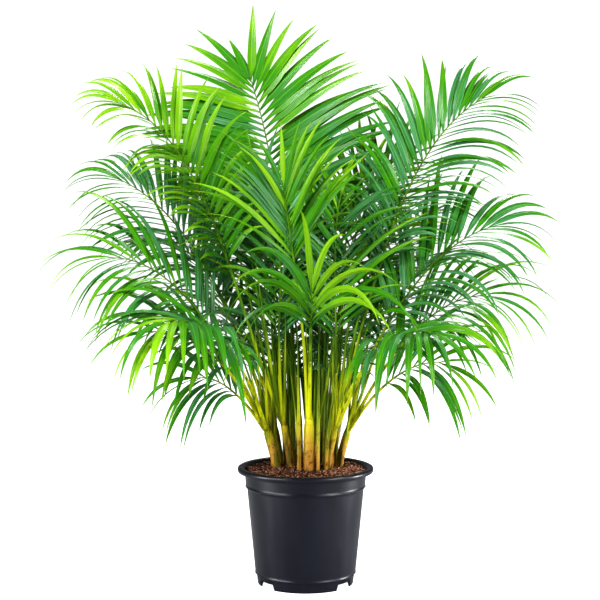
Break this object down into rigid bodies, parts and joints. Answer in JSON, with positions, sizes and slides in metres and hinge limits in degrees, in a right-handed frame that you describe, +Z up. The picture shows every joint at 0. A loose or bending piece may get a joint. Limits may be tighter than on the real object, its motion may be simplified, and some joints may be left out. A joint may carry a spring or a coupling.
{
  "type": "potted palm",
  "caption": "Potted feather palm: a clump of slim canes with arching fronds of narrow leaflets, standing in potting mix in a round tapered nursery pot.",
  "frame": {"origin": "on the ground, under the pot's axis and within 8 mm of the middle of the foliage", "axes": "+Z up along the pot's axis, -Y towards the front of the plant as the picture shows it, +X to the viewer's right"},
  "size_m": [0.8849, 0.6881, 1.051],
  "materials": {
    "pot": "satin charcoal black, moulded",
    "potting_mix": "loose reddish-brown coir and peat chips",
    "cane": "smooth yellow-green skin, orange-brown at the foot",
    "frond": "glossy green leaf"
  },
  "bodies": {
    "root": {"pot": "pot", "potting_mix": "potting_mix", "cane_01": "cane", "cane_02": "cane", "cane_03": "cane", "cane_04": "cane", "cane_05": "cane", "cane_06": "cane", "cane_07": "cane", "cane_08": "cane", "cane_09": "cane", "cane_10": "cane", "cane_11": "cane", "cane_12": "cane", "cane_13": "cane", "cane_14": "cane", "frond_01": "frond", "frond_02": "frond", "frond_03": "frond", "frond_04": "frond", "frond_05": "frond", "frond_06": "frond", "frond_07": "frond", "frond_08": "frond", "frond_09": "frond", "frond_10": "frond", "frond_11": "frond", "frond_12": "frond", "frond_13": "frond", "frond_14": "frond", "frond_15": "frond", "frond_16": "frond", "frond_17": "frond", "frond_18": "frond", "frond_19": "frond", "frond_20": "frond", "frond_21": "frond", "frond_22": "frond", "frond_23": "frond", "frond_24": "frond", "frond_25": "frond", "frond_26": "frond", "frond_27": "frond", "frond_28": "frond", "frond_29": "frond", "frond_30": "frond", "frond_31": "frond", "frond_32": "frond", "frond_33": "frond", "frond_34": "frond", "frond_35": "frond", "frond_36": "frond"}
  },
  "joints": []
}
